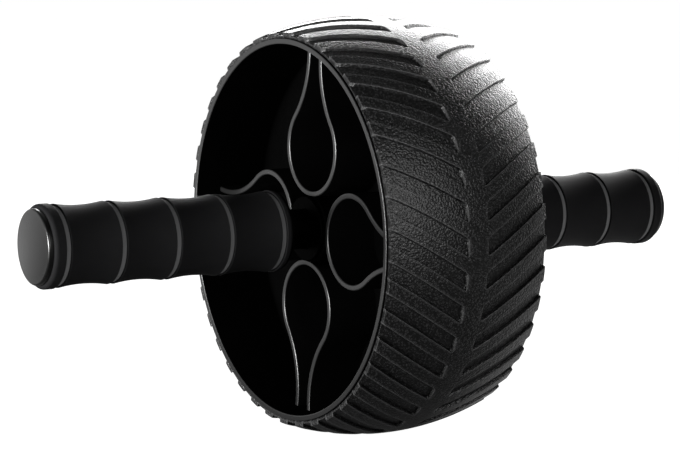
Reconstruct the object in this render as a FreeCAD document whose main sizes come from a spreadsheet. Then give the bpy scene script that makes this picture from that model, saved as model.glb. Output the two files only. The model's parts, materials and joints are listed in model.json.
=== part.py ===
import FreeCAD, Part
import math
import os
from collections import namedtuple
from types import SimpleNamespace

import Sketcher

# Ab wheel: a wide crowned wheel that spins on a steel axle between two finger grips.
# The origin is the wheel's centre, the axle lies along Y and Z is up. Lengths are in millimetres.
# Every piece of a handle or bearing is drawn on the right, +Y side and turned over for the left.

sizes = {
    # Tyre
    "tread_radius": 100.2,
    "tyre_wall": 10.6,
    "crown_radius": 128,
    "band_width": 10,
    "pocket_depth": 1.5,
    "pocket_count": 40,
    "pocket_width_share": 0.55,
    "pocket_rise_share": 0.566,
    "pocket_corner_radius": 1.8,
    "tread_phase": 5.4,
    "seam_chamfer": 1.2,
    # Wheel halves
    "rim_width": 86,
    "rim_wall": 2.5,
    "lip_height": 0.6,
    "lip_width": 0.7,
    "lip_gap": 0.1,
    "web_wall": 4,
    "spoke_count": 4,
    "spoke_angle": 86,
    "spoke_recess": 13.5,
    "spoke_wall": 2.6,
    "spoke_bite": 1,
    "lobe_radius": 22.6,
    "neck_half_width": 6.5,
    "neck_to_rim": 5.7,
    "hub_radius": 16.4,
    # Screws and nuts between the halves
    "screw_circle": 58,
    "screw_radius": 2,
    "screw_head_radius": 4,
    "screw_head_height": 2.4,
    "screw_end": 1,
    "nut_flats": 7,
    "nut_height": 3.2,
    # Bearings
    "bearing_radius": 12,
    "bearing_width": 6,
    "bearing_set_in": 0.6,
    "bearing_shoulder": 1.6,
    "ball_circle": 9,
    "ball_radius": 1.75,
    "ball_count": 10,
    "land_offset": 1.2,
    "cage_wall": 1.3,
    "cage_width": 4,
    "seal_wall": 0.4,
    "seal_set_in": 0.25,
    "seal_lip_gap": 0.3,
    # Axle, sleeve and collars
    "axle_radius": 6,
    "axle_chamfer": 0.8,
    "sleeve_wall": 1.6,
    "collar_radius": 9.5,
    "collar_foot_wall": 1.6,
    "dust_disc_radius": 15.4,
    "dust_disc_wall": 1.6,
    "dust_disc_gap": 0.4,
    # Handles
    "handle_gap": 4.5,
    "flange_radius": 18.2,
    "flange_wall": 1,
    "core_radius": 14,
    "core_pocket_radius": 9,
    "core_pocket_depth": 12.5,
    "core_floor": 3,
    "draw_gap": 0.5,
    "grip_radius": 19.25,
    "grip_length": 121,
    "grip_inner_land": 4.5,
    "grip_outer_land": 6.7,
    "saddle_count": 4,
    "saddle_depth": 1.4,
    "groove_depth": 1.1,
    "groove_width": 2.4,
    "grip_end_round": 1.8,
    "cap_radius": 17.3,
    "cap_wall": 3,
    "cap_round": 1.2,
    "spigot_wall": 1.5,
    "spigot_length": 6,
    # Axle screws and washers
    "axle_screw_radius": 3,
    "axle_screw_length": 18,
    "axle_screw_head_radius": 5,
    "axle_screw_head_height": 4,
    "socket_flats": 4,
    "socket_depth": 2.4,
    "tapped_depth": 16,
    "washer_radius": 8,
    "washer_wall": 1.5,
    # Clearances
    "slip_fit": 0.03,
    "running_fit": 0.03,
    "pocket_fit": 0.06,
    "screw_fit": 0.2,
    "overrun": 2,
}

document = FreeCAD.newDocument("ab_wheel")
sheet = document.addObject("Spreadsheet::Sheet", "Sizes")
for row, (alias, number) in enumerate(sizes.items(), 1):
    sheet.set(f"A{row}", alias)
    sheet.set(f"B{row}", str(number))
    sheet.setAlias(f"B{row}", alias)
document.recompute()

axle_line = FreeCAD.Vector(0, 1, 0)
up = FreeCAD.Vector(0, 0, 1)
origin = FreeCAD.Vector(0, 0, 0)


class Size:
    # A number together with the expression that works it out from the sheet.
    def __init__(self, value, text):
        self.value = value
        self.text = text

    def __add__(self, other):
        other = as_size(other)
        return Size(self.value + other.value, f"({self.text} + {other.text})")

    def __sub__(self, other):
        other = as_size(other)
        return Size(self.value - other.value, f"({self.text} - {other.text})")

    def __mul__(self, other):
        other = as_size(other)
        return Size(self.value * other.value, f"({self.text} * {other.text})")

    def __truediv__(self, other):
        other = as_size(other)
        return Size(self.value / other.value, f"({self.text} / {other.text})")

    def __neg__(self):
        return Size(-self.value, f"(-{self.text})")

    def root(self):
        return Size(math.sqrt(self.value), f"sqrt({self.text})")


def as_size(number):
    return number if isinstance(number, Size) else Size(number, repr(number))


def squared(length):
    return length * length


dim = SimpleNamespace(**{alias: Size(float(sheet.get(alias)), f"Sizes.{alias}") for alias in sizes})
zero = as_size(0)

# An outline is a list of corners. A corner that carries a Bow starts an arc of that radius, which
# swells to the left or to the right of the way to the next corner.
Corner = namedtuple("Corner", "across along bow", defaults=(None,))
Bow = namedtuple("Bow", "radius left")


def new_object(kind, label):
    item = document.addObject(kind, label)
    item.Label = label
    return item


def origin_feature(body, role):
    return next(item for item in body.Origin.OriginFeatures if item.Role == role)


def new_sketch(body, name, plane):
    sketch = body.newObject("Sketcher::SketchObject", name)
    sketch.AttachmentSupport = [(origin_feature(body, plane), "")]
    sketch.MapMode = "FlatFace"
    return sketch


def bind(item, name, size):
    item.setExpression(name, size.text)


def bind_constraint(sketch, kind, places, size):
    number = sketch.addConstraint(Sketcher.Constraint(kind, *places, size.value))
    bind(sketch, f"Constraints[{number}]", size)


def bind_point(sketch, end, corner):
    centre = (-1, 1)
    axes = (("DistanceX", corner.across, -2), ("DistanceY", corner.along, -1))
    for kind, distance, axis in axes:
        if distance.value == 0:
            sketch.addConstraint(Sketcher.Constraint("PointOnObject", *end, axis))
        elif distance.value > 0:
            bind_constraint(sketch, kind, centre + end, distance)
        else:
            bind_constraint(sketch, kind, end + centre, -distance)


def flat_point(corner):
    return FreeCAD.Vector(corner.across.value, corner.along.value, 0)


def add_line(sketch, here, there):
    edge = sketch.addGeometry(Part.LineSegment(flat_point(here), flat_point(there)))
    return (edge, 1), (edge, 2)


def add_arc(sketch, here, there):
    start, finish = flat_point(here), flat_point(there)
    chord = finish - start
    radius = here.bow.radius.value
    to_centre = math.sqrt(radius ** 2 - (chord.Length / 2) ** 2)
    leftward = FreeCAD.Vector(-chord.y, chord.x, 0).normalize()
    centre = (start + finish) / 2 + leftward * (-to_centre if here.bow.left else to_centre)
    first, last = (finish, start) if here.bow.left else (start, finish)
    angles = [math.atan2(point.y - centre.y, point.x - centre.x) for point in (first, last)]
    if angles[1] < angles[0]:
        angles[1] += math.tau
    edge = sketch.addGeometry(Part.ArcOfCircle(Part.Circle(centre, up, radius), *angles))
    bind_constraint(sketch, "Radius", (edge,), here.bow.radius)
    return ((edge, 2), (edge, 1)) if here.bow.left else ((edge, 1), (edge, 2))


def add_outline(sketch, corners):
    ends = []
    for here, there in zip(corners, corners[1:] + corners[:1]):
        ends.append(add_arc(sketch, here, there) if here.bow else add_line(sketch, here, there))
    for number, corner in enumerate(corners):
        start = ends[number][0]
        sketch.addConstraint(Sketcher.Constraint("Coincident", *ends[number - 1][1], *start))
        bind_point(sketch, start, corner)


def turned_body(label, corners):
    # A solid of revolution about the axle line: corners are (radius, place along Y).
    body = new_object("PartDesign::Body", label)
    sketch = new_sketch(body, f"{label}_profile", "XY_Plane")
    add_outline(sketch, [Corner(*corner) for corner in corners])
    turn = body.newObject("PartDesign::Revolution", f"{label}_turn")
    turn.Profile = sketch
    turn.ReferenceAxis = (sketch, ["V_Axis"])
    turn.Angle = 360
    return body


def ring_corners(inner, outer, start, finish):
    return [(inner, start), (outer, start), (outer, finish), (inner, finish)]


def about_axle(degrees):
    # A turn about the axle line that carries +X towards +Z.
    return FreeCAD.Placement(origin, FreeCAD.Rotation(axle_line, -degrees))


def placed_copy(shape, placement):
    copy = shape.copy()
    copy.Placement = placement.multiply(copy.Placement)
    return copy


def copies_round(label, shapes, count, first_angle):
    # Copies of the shapes, evenly spaced round the axle line, as one group of solids.
    document.recompute()
    group = new_object("Part::Feature", label)
    step = 360 / count
    places = [about_axle(first_angle + step * number) for number in range(count)]
    group.Shape = Part.makeCompound([placed_copy(shape, place) for place in places for shape in shapes])
    return group


def boolean(kind, label, base, tool):
    item = new_object(kind, label)
    item.Base = base
    item.Tool = tool
    return item


def hex_prism(label, flats, height, start):
    # A hexagonal bar along Y: flats apart, from its start on.
    prism = new_object("Part::Prism", label)
    prism.Polygon = 6
    bind(prism, "Circumradius", flats / as_size(3).root())
    bind(prism, "Height", height)
    prism.Placement = FreeCAD.Placement(origin, FreeCAD.Rotation(up, axle_line))
    bind(prism, "Placement.Base.y", start)
    return prism


# Places along Y that several pieces share
rim_face = dim.rim_width / 2
hub_face = rim_face - dim.spoke_recess
bearing_outer_face = hub_face - dim.bearing_set_in
bearing_inner_face = bearing_outer_face - dim.bearing_width
bearing_middle = bearing_outer_face - dim.bearing_width / 2
handle_start = rim_face + dim.handle_gap
grip_start = handle_start + dim.flange_wall
handle_end = grip_start + dim.grip_length
core_pocket_floor = handle_end - dim.core_pocket_depth
core_bore_end = core_pocket_floor - dim.core_floor
axle_end = core_bore_end - dim.draw_gap

# Radii that several pieces share
tyre_seat = dim.tread_radius - dim.tyre_wall
rim_radius = tyre_seat + dim.lip_height
rim_inside = rim_radius - dim.rim_wall
sliding_bore = dim.axle_radius + dim.slip_fit
inner_land = dim.ball_circle - dim.land_offset
outer_land = dim.ball_circle + dim.land_offset
race_groove = dim.ball_radius + dim.running_fit

tyre_edge = rim_face - dim.lip_width - dim.lip_gap
crown_centre = dim.tread_radius - dim.crown_radius


def crown_reach(radius, along):
    # Distance from the axle line to a crown arc of that radius, at a place along Y.
    return crown_centre + (squared(radius) - squared(along)).root()


def tread_pocket():
    # One slanted pocket: a leaning bar, kept only where it lies outside the pocket floor.
    floor_radius = dim.crown_radius - dim.pocket_depth
    reach = tyre_edge + dim.overrun
    outside = dim.tread_radius + dim.overrun
    floor_edge = crown_reach(floor_radius, reach)
    shell = turned_body("pocket_shell", [
        (floor_edge, -reach, Bow(floor_radius, False)),
        (floor_edge, reach),
        (outside, reach),
        (outside, -reach),
    ])

    width = dim.tread_radius * math.tau / dim.pocket_count * dim.pocket_width_share
    band_edge = dim.band_width / 2
    low = -(width + (tyre_edge - band_edge) * dim.pocket_rise_share) / 2
    low_at_reach = low + (reach - band_edge) * dim.pocket_rise_share
    bar = new_object("PartDesign::Body", "pocket_bar")
    sketch = new_sketch(bar, "pocket_bar_outline", "YZ_Plane")
    add_outline(sketch, [
        Corner(band_edge, low),
        Corner(reach, low_at_reach),
        Corner(reach, low_at_reach + width),
        Corner(band_edge, low + width),
    ])
    pad = bar.newObject("PartDesign::Pad", "pocket_bar_pad")
    pad.Profile = sketch
    bind(pad, "Length", outside + dim.overrun)
    document.recompute()
    corners = [
        f"Edge{number}" for number, edge in enumerate(pad.Shape.Edges, 1)
        if all(math.isclose(vertex.Y, band_edge.value) for vertex in edge.Vertexes)
        and not math.isclose(edge.Vertexes[0].X, edge.Vertexes[1].X)
    ]
    rounding = bar.newObject("PartDesign::Fillet", "pocket_bar_rounding")
    rounding.Base = (pad, corners)
    bind(rounding, "Radius", dim.pocket_corner_radius)
    return boolean("Part::Common", "pocket_solid", shell, bar)


def tyre():
    edge_radius = crown_reach(dim.crown_radius, tyre_edge)
    seam_radius = tyre_seat + dim.seam_chamfer
    seam_start = tyre_edge - dim.seam_chamfer
    blank = turned_body("tyre_blank", [
        (tyre_seat, -seam_start),
        (seam_radius, -tyre_edge),
        (edge_radius, -tyre_edge, Bow(dim.crown_radius, False)),
        (edge_radius, tyre_edge),
        (seam_radius, tyre_edge),
        (tyre_seat, seam_start),
    ])
    pocket = tread_pocket()
    document.recompute()
    both_flanks = [pocket.Shape, pocket.Shape.mirror(origin, axle_line)]
    count = int(dim.pocket_count.value)
    pockets = copies_round("tread_pockets", both_flanks, count, dim.tread_phase.value)
    return boolean("Part::Cut", "tyre", blank, pockets)


def spoke_outline():
    # The wall of one loop, seen along Y with the spoke along +X: a round lobe at the hub that
    # narrows through two hollow arcs to a neck at the rim.
    lobe = dim.lobe_radius
    wall = dim.spoke_wall
    lobe_centre = dim.hub_radius + lobe - dim.spoke_bite
    neck_place = rim_inside - dim.neck_to_rim
    span = neck_place - lobe_centre
    hollow = (squared(span) + squared(dim.neck_half_width) - squared(lobe)) / ((lobe - dim.neck_half_width) * 2)
    hollow_centre = dim.neck_half_width + hollow
    rim_end = rim_inside + (tyre_seat - rim_inside) / 2

    def half(inset):
        lobe_arc = lobe - inset
        neck_arc = hollow + inset
        share = lobe_arc / (lobe + hollow)
        touch = (lobe_centre + span * share, hollow_centre * share)
        rim = (rim_end, hollow_centre - (squared(neck_arc) - squared(rim_end - neck_place)).root())
        return lobe_arc, neck_arc, touch, rim

    lobe_out, neck_out, touch_out, rim_out = half(zero)
    lobe_in, neck_in, touch_in, rim_in = half(wall)
    return [
        Corner(*rim_out, Bow(neck_out, True)),
        Corner(*touch_out, Bow(lobe_out, False)),
        Corner(lobe_centre - lobe_out, zero, Bow(lobe_out, False)),
        Corner(touch_out[0], -touch_out[1], Bow(neck_out, True)),
        Corner(rim_out[0], -rim_out[1]),
        Corner(rim_in[0], -rim_in[1], Bow(neck_in, False)),
        Corner(touch_in[0], -touch_in[1], Bow(lobe_in, True)),
        Corner(lobe_centre - lobe_in, zero, Bow(lobe_in, True)),
        Corner(*touch_in, Bow(neck_in, False)),
        Corner(*rim_in),
    ]


def wheel_half(label, placement):
    # A cup that opens towards +Y: rim wall, web and hub boss.
    seat = dim.bearing_radius + dim.slip_fit
    hub_bore = dim.bearing_radius - dim.bearing_shoulder
    lip_start = rim_face - dim.lip_width
    body = turned_body(label, [
        (hub_bore, zero),
        (tyre_seat, zero),
        (tyre_seat, lip_start),
        (rim_radius, lip_start),
        (rim_radius, rim_face),
        (rim_inside, rim_face),
        (rim_inside, dim.web_wall),
        (dim.hub_radius, dim.web_wall),
        (dim.hub_radius, hub_face),
        (seat, hub_face),
        (seat, bearing_inner_face),
        (hub_bore, bearing_inner_face),
    ])

    hole_sketch = new_sketch(body, f"{label}_hole", "XZ_Plane")
    bind(hole_sketch, "AttachmentOffset.Rotation.Angle", as_size(180) / dim.spoke_count)
    hole_radius = dim.screw_radius + dim.screw_fit
    circle = Part.Circle(FreeCAD.Vector(dim.screw_circle.value, 0, 0), up, hole_radius.value)
    edge = hole_sketch.addGeometry(circle)
    bind_point(hole_sketch, (edge, 3), Corner(dim.screw_circle, zero))
    bind_constraint(hole_sketch, "Radius", (edge,), hole_radius)
    hole = body.newObject("PartDesign::Pocket", f"{label}_hole_cut")
    hole.Profile = hole_sketch
    bind(hole, "Length", dim.web_wall)
    pattern = body.newObject("PartDesign::PolarPattern", f"{label}_holes")
    pattern.Originals = [hole]
    pattern.Axis = (origin_feature(body, "Y_Axis"), [""])
    pattern.Angle = 360
    bind(pattern, "Occurrences", dim.spoke_count)
    body.Tip = pattern
    body.Placement = placement
    return body


def spoke_loops(label, half):
    # Four walls that stand on a wheel half's web, trimmed to its hub and rim.
    wall = new_object("PartDesign::Body", f"{label}_wall")
    sketch = new_sketch(wall, f"{label}_outline", "XZ_Plane")
    bind(sketch, "AttachmentOffset.Base.z", -dim.web_wall)
    add_outline(sketch, spoke_outline())
    pad = wall.newObject("PartDesign::Pad", f"{label}_pad")
    pad.Profile = sketch
    pad.Reversed = True
    bind(pad, "Length", hub_face - dim.web_wall)
    wall.Placement = half.Placement
    trimmed = boolean("Part::Cut", f"{label}_one", wall, half)
    document.recompute()
    return copies_round(label, [trimmed.Shape], int(dim.spoke_count.value), 0)


def wheel_screw():
    tip = -(dim.web_wall + dim.nut_height + dim.screw_end)
    return turned_body("wheel_screw_one", [
        (zero, tip),
        (dim.screw_radius, tip),
        (dim.screw_radius, dim.web_wall),
        (dim.screw_head_radius, dim.web_wall),
        (dim.screw_head_radius, dim.web_wall + dim.screw_head_height),
        (zero, dim.web_wall + dim.screw_head_height),
    ])


def wheel_nut():
    end = -(dim.web_wall + dim.nut_height)
    bar = hex_prism("wheel_nut_bar", dim.nut_flats, dim.nut_height, end)
    bore = turned_body("wheel_nut_bore", [
        (zero, end - dim.overrun),
        (dim.screw_radius + dim.slip_fit, end - dim.overrun),
        (dim.screw_radius + dim.slip_fit, zero),
        (zero, zero),
    ])
    return boolean("Part::Cut", "wheel_nut_one", bar, bore)


def bolted_round(label, item):
    # The screws stand midway between the spokes, with their heads on the left half.
    document.recompute()
    outward = FreeCAD.Placement(FreeCAD.Vector(dim.screw_circle.value, 0, 0), FreeCAD.Rotation(up, 180))
    count = int(dim.spoke_count.value)
    first_angle = dim.spoke_angle.value + 180 / count
    return copies_round(label, [placed_copy(item.Shape, outward)], count, first_angle)


def inner_race(label):
    groove = (squared(race_groove) - squared(dim.land_offset)).root()
    return turned_body(label, [
        (sliding_bore, bearing_inner_face),
        (inner_land, bearing_inner_face),
        (inner_land, bearing_middle - groove, Bow(race_groove, True)),
        (inner_land, bearing_middle + groove),
        (inner_land, bearing_outer_face),
        (sliding_bore, bearing_outer_face),
    ])


def outer_race(label):
    groove = (squared(race_groove) - squared(dim.land_offset)).root()
    return turned_body(label, [
        (outer_land, bearing_inner_face),
        (dim.bearing_radius, bearing_inner_face),
        (dim.bearing_radius, bearing_outer_face),
        (outer_land, bearing_outer_face),
        (outer_land, bearing_middle + groove, Bow(race_groove, True)),
        (outer_land, bearing_middle - groove),
    ])


def balls(label):
    ball = new_object("Part::Sphere", f"{label}_one")
    bind(ball, "Radius", dim.ball_radius)
    bind(ball, "Placement.Base.x", dim.ball_circle)
    bind(ball, "Placement.Base.y", bearing_middle)
    document.recompute()
    return copies_round(label, [ball.Shape], int(dim.ball_count.value), 0)


def ball_cage(label):
    half_width = dim.cage_width / 2
    half_wall = dim.cage_wall / 2
    ring = turned_body(f"{label}_ring", ring_corners(
        dim.ball_circle - half_wall, dim.ball_circle + half_wall,
        bearing_middle - half_width, bearing_middle + half_width))
    hole = new_object("Part::Cylinder", f"{label}_hole")
    bind(hole, "Radius", dim.ball_radius + dim.pocket_fit)
    bind(hole, "Height", dim.bearing_radius)
    hole.Placement = FreeCAD.Placement(origin, FreeCAD.Rotation(up, FreeCAD.Vector(1, 0, 0)))
    bind(hole, "Placement.Base.y", bearing_middle)
    document.recompute()
    holes = copies_round(f"{label}_holes", [hole.Shape], int(dim.ball_count.value), 0)
    return boolean("Part::Cut", label, ring, holes)


def seals(label):
    # A thin disc near each face of the bearing, held by the outer race.
    inside = inner_land + dim.seal_lip_gap
    outer_start = bearing_outer_face - dim.seal_set_in - dim.seal_wall
    inner_start = bearing_inner_face + dim.seal_set_in
    discs = [
        turned_body(f"{label}_{name}", ring_corners(inside, outer_land, start, start + dim.seal_wall))
        for name, start in (("outer", outer_start), ("inner", inner_start))
    ]
    pair = new_object("Part::Compound", label)
    pair.Links = discs
    return pair


def axle():
    chamfer = dim.axle_chamfer
    tapped_end = axle_end - dim.tapped_depth
    tapped_radius = dim.axle_screw_radius + dim.slip_fit
    return turned_body("axle", [
        (zero, -tapped_end),
        (tapped_radius, -tapped_end),
        (tapped_radius, -axle_end),
        (dim.axle_radius - chamfer, -axle_end),
        (dim.axle_radius, chamfer - axle_end),
        (dim.axle_radius, axle_end - chamfer),
        (dim.axle_radius - chamfer, axle_end),
        (tapped_radius, axle_end),
        (tapped_radius, tapped_end),
        (zero, tapped_end),
    ])


def spacer_sleeve():
    outside = sliding_bore + dim.sleeve_wall
    return turned_body("spacer_sleeve", ring_corners(
        sliding_bore, outside, -bearing_inner_face, bearing_inner_face))


def collar(label):
    # A neck from the inner race to the handle, with a disc that hides the bearing.
    foot = sliding_bore + dim.collar_foot_wall
    disc_start = hub_face + dim.dust_disc_gap
    disc_end = disc_start + dim.dust_disc_wall
    return turned_body(label, [
        (sliding_bore, bearing_outer_face),
        (foot, bearing_outer_face),
        (foot, disc_start),
        (dim.dust_disc_radius, disc_start),
        (dim.dust_disc_radius, disc_end),
        (dim.collar_radius, disc_end),
        (dim.collar_radius, handle_start),
        (sliding_bore, handle_start),
    ])


def handle_core(label):
    screw_hole = dim.axle_screw_radius + dim.screw_fit
    return turned_body(label, [
        (sliding_bore, handle_start),
        (dim.flange_radius, handle_start),
        (dim.flange_radius, grip_start),
        (dim.core_radius, grip_start),
        (dim.core_radius, handle_end),
        (dim.core_pocket_radius, handle_end),
        (dim.core_pocket_radius, core_pocket_floor),
        (screw_hole, core_pocket_floor),
        (screw_hole, core_bore_end),
        (sliding_bore, core_bore_end),
    ])


def grip(label):
    # Four hollow finger saddles between square grooves, with a rounded ring at each end.
    inside = dim.core_radius + dim.slip_fit
    half_groove = dim.groove_width / 2
    first_groove = grip_start + dim.grip_inner_land
    last_groove = handle_end - dim.grip_outer_land
    pitch = (last_groove - first_groove) / dim.saddle_count
    half_chord = pitch / 2 - half_groove
    saddle_arc = (squared(half_chord) + squared(dim.saddle_depth)) / (dim.saddle_depth * 2)
    end_round = dim.grip_end_round
    corners = [
        (inside, grip_start),
        (dim.grip_radius - end_round, grip_start, Bow(end_round, False)),
        (dim.grip_radius, grip_start + end_round),
    ]
    count = int(dim.saddle_count.value)
    for number in range(count + 1):
        groove = first_groove + pitch * number
        corners.append((dim.grip_radius, groove - half_groove))
        corners.append((dim.grip_radius - dim.groove_depth, groove - half_groove))
        corners.append((dim.grip_radius - dim.groove_depth, groove + half_groove))
        hollow = Bow(saddle_arc, True) if number < count else None
        corners.append((dim.grip_radius, groove + half_groove, hollow))
    corners += [
        (dim.grip_radius, handle_end - end_round, Bow(end_round, False)),
        (dim.grip_radius - end_round, handle_end),
        (inside, handle_end),
    ]
    return turned_body(label, corners)


def end_cap(label):
    # A disc with a rounded edge on a hollow spigot that pushes into the handle core.
    face = handle_end + dim.cap_wall
    spigot = dim.core_pocket_radius - dim.slip_fit
    spigot_end = handle_end - dim.spigot_length
    return turned_body(label, [
        (zero, handle_end),
        (spigot - dim.spigot_wall, handle_end),
        (spigot - dim.spigot_wall, spigot_end),
        (spigot, spigot_end),
        (spigot, handle_end),
        (dim.cap_radius, handle_end),
        (dim.cap_radius, face - dim.cap_round, Bow(dim.cap_round, False)),
        (dim.cap_radius - dim.cap_round, face),
        (zero, face),
    ])


def axle_screw(label):
    seat = core_pocket_floor + dim.washer_wall
    head_end = seat + dim.axle_screw_head_height
    tip = seat - dim.axle_screw_length
    blank = turned_body(f"{label}_blank", [
        (zero, tip),
        (dim.axle_screw_radius, tip),
        (dim.axle_screw_radius, seat),
        (dim.axle_screw_head_radius, seat),
        (dim.axle_screw_head_radius, head_end),
        (zero, head_end),
    ])
    socket = hex_prism(f"{label}_socket", dim.socket_flats, dim.socket_depth + dim.overrun,
                       head_end - dim.socket_depth)
    return boolean("Part::Cut", label, blank, socket)


def washer(label):
    hole = dim.axle_screw_radius + dim.screw_fit
    return turned_body(label, ring_corners(
        hole, dim.washer_radius, core_pocket_floor, core_pocket_floor + dim.washer_wall))


parts = [tyre(), axle(), spacer_sleeve()]

wheel_turn = about_axle(dim.spoke_angle.value)
turned_over = FreeCAD.Placement(origin, FreeCAD.Rotation(FreeCAD.Vector(1, 0, 0), 180))
for side, turn in (("right", wheel_turn), ("left", wheel_turn.multiply(turned_over))):
    half = wheel_half(f"{side}_wheel_half", turn)
    parts += [half, spoke_loops(f"{side}_spoke_loops", half)]
parts.append(bolted_round("wheel_screws", wheel_screw()))
parts.append(bolted_round("wheel_nuts", wheel_nut()))

handle_pieces = (inner_race, outer_race, balls, ball_cage, seals, collar, handle_core, grip, end_cap,
                 axle_screw, washer)
left_turn = FreeCAD.Placement(origin, FreeCAD.Rotation(up, 180))
for make in handle_pieces:
    parts.append(make(f"right_{make.__name__}"))
    left_piece = make(f"left_{make.__name__}")
    left_piece.Placement = left_turn.multiply(left_piece.Placement)
    parts.append(left_piece)

document.recompute()
for item in document.Objects:
    if "Invalid" in item.State or "Error" in item.State:
        raise RuntimeError(f"{item.Label} failed: {item.State}")
for piece in parts:
    if piece.Shape.isNull() or not piece.Shape.isValid():
        raise RuntimeError(f"{piece.Label} has no valid shape")

os.makedirs("parts", exist_ok=True)
for piece in parts:
    piece.Shape.exportStep(f"parts/{piece.Label}.step")
    print(piece.Label, len(piece.Shape.Solids), round(piece.Shape.Volume, 1))
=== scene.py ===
import json
import math

import bmesh
import bpy
from mathutils import Matrix, Vector


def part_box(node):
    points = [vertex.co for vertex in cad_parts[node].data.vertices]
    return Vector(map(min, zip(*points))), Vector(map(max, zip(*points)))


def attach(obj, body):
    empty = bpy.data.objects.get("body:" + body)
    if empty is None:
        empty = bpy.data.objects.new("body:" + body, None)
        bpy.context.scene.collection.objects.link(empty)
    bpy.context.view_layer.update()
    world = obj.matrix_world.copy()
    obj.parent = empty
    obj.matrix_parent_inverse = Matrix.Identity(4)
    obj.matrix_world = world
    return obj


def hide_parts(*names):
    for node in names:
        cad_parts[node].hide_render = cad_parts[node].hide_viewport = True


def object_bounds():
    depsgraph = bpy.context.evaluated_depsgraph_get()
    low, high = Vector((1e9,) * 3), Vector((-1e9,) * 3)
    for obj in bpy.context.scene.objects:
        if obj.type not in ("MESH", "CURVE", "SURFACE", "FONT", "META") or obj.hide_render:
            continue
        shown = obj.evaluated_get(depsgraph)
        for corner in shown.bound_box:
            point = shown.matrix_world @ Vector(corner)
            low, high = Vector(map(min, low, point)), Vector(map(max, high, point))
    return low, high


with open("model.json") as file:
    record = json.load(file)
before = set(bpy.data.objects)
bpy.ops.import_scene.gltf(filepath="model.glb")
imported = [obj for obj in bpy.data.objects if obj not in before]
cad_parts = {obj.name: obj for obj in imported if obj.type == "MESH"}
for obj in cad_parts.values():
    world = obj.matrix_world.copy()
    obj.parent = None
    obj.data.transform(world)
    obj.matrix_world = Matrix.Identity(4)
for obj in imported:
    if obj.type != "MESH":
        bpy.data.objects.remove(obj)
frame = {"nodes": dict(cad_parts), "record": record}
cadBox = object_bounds()
print("frame:", len(frame["nodes"]), "nodes")

mm = 0.001
scene = bpy.context.scene
sides = {"left": -1, "right": 1}
mergeGap = {"mesh": 1e-7, "tree": 1e-6}                               # metres
sharpAngle = {"tread": 62, "grip": 50, "copies": 40, "turned": 30}    # degrees, where an edge stays sharp
arcSteps = 5                                                          # in each rounded corner


# Node wiring, for materials and geometry alike

class Wire:
    # a socket that takes part in plain arithmetic
    def __init__(self, tree, socket):
        self.tree = tree
        self.socket = socket

    def out(self, name):
        return Wire(self.tree, self.socket.node.outputs[name])

    def maths(self, operation, *values):
        return mathsNode(self.tree, operation, self, *values)

    def held(self, low=0, high=1):
        return self.maths("MAXIMUM", low).maths("MINIMUM", high)

    def __add__(self, other):
        return self.maths("ADD", other)

    def __sub__(self, other):
        return self.maths("SUBTRACT", other)

    def __rsub__(self, other):
        return mathsNode(self.tree, "SUBTRACT", other, self)

    def __mul__(self, other):
        return self.maths("MULTIPLY", other)

    def __truediv__(self, other):
        return self.maths("DIVIDE", other)

    def __rtruediv__(self, other):
        return mathsNode(self.tree, "DIVIDE", other, self)

    __radd__ = __add__
    __rmul__ = __mul__


def addNode(tree, kind, settings=None, inputs=None, output=0):
    # settings first, because some of them change the sockets
    node = tree.nodes.new(kind)
    for name, value in (settings or {}).items():
        setattr(node, name, value)
    for place, value in (inputs or {}).items():
        if isinstance(value, Wire):
            tree.links.new(value.socket, node.inputs[place])
        else:
            node.inputs[place].default_value = value
    return Wire(tree, node.outputs[output])


def mathsNode(tree, operation, *values):
    return addNode(tree, "ShaderNodeMath", {"operation": operation}, dict(enumerate(values)))


def splitVector(tree, vector):
    parts = addNode(tree, "ShaderNodeSeparateXYZ", {}, {0: vector})
    return parts, parts.out("Y"), parts.out("Z")


def joinVector(tree, x, y, z):
    return addNode(tree, "ShaderNodeCombineXYZ", {}, {"X": x, "Y": y, "Z": z})


# Geometry trees: built here, run once, kept as a plain mesh

socketKinds = {int: "NodeSocketInt", float: "NodeSocketFloat", bpy.types.Material: "NodeSocketMaterial"}


def newTree(name, values):
    tree = bpy.data.node_groups.new(name, "GeometryNodeTree")
    tree.interface.new_socket("Geometry", in_out="INPUT", socket_type="NodeSocketGeometry")
    tree.interface.new_socket("Geometry", in_out="OUTPUT", socket_type="NodeSocketGeometry")
    sockets = {
        key: tree.interface.new_socket(key, in_out="INPUT", socket_type=socketKinds[type(value)])
        for key, value in values.items()
    }
    source = tree.nodes.new("NodeGroupInput")
    wires = {key: Wire(tree, source.outputs[key]) for key in list(values) + ["Geometry"]}
    identifiers = {key: socket.identifier for key, socket in sockets.items()}
    return tree, wires, identifiers


def endTree(tree, geometry, material):
    whole = addNode(tree, "GeometryNodeRealizeInstances", {}, {"Geometry": geometry})
    painted = addNode(tree, "GeometryNodeSetMaterial", {}, {"Geometry": whole, "Material": material})
    tree.links.new(painted.socket, tree.nodes.new("NodeGroupOutput").inputs[0])


def grow(name, tree, values, identifiers, mesh=None):
    piece = bpy.data.objects.new(name, mesh or bpy.data.meshes.new(name))
    scene.collection.objects.link(piece)
    modifier = piece.modifiers.new("grow", "NODES")
    modifier.node_group = tree
    for key, value in values.items():
        modifier[identifiers[key]] = value
    grown = bpy.data.meshes.new_from_object(piece.evaluated_get(bpy.context.evaluated_depsgraph_get()))
    piece.modifiers.remove(modifier)
    piece.data = grown
    return piece


def unitGrid(tree, columns, rows):
    # a flat grid of unit size about its middle, and where each point lies on it
    grid = addNode(tree, "GeometryNodeMeshGrid", {}, {
        "Size X": 1.0, "Size Y": 1.0, "Vertices X": columns + 1, "Vertices Y": rows + 1})
    u, v, _ = splitVector(tree, addNode(tree, "GeometryNodeInputPosition"))
    return grid, u, v


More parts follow.
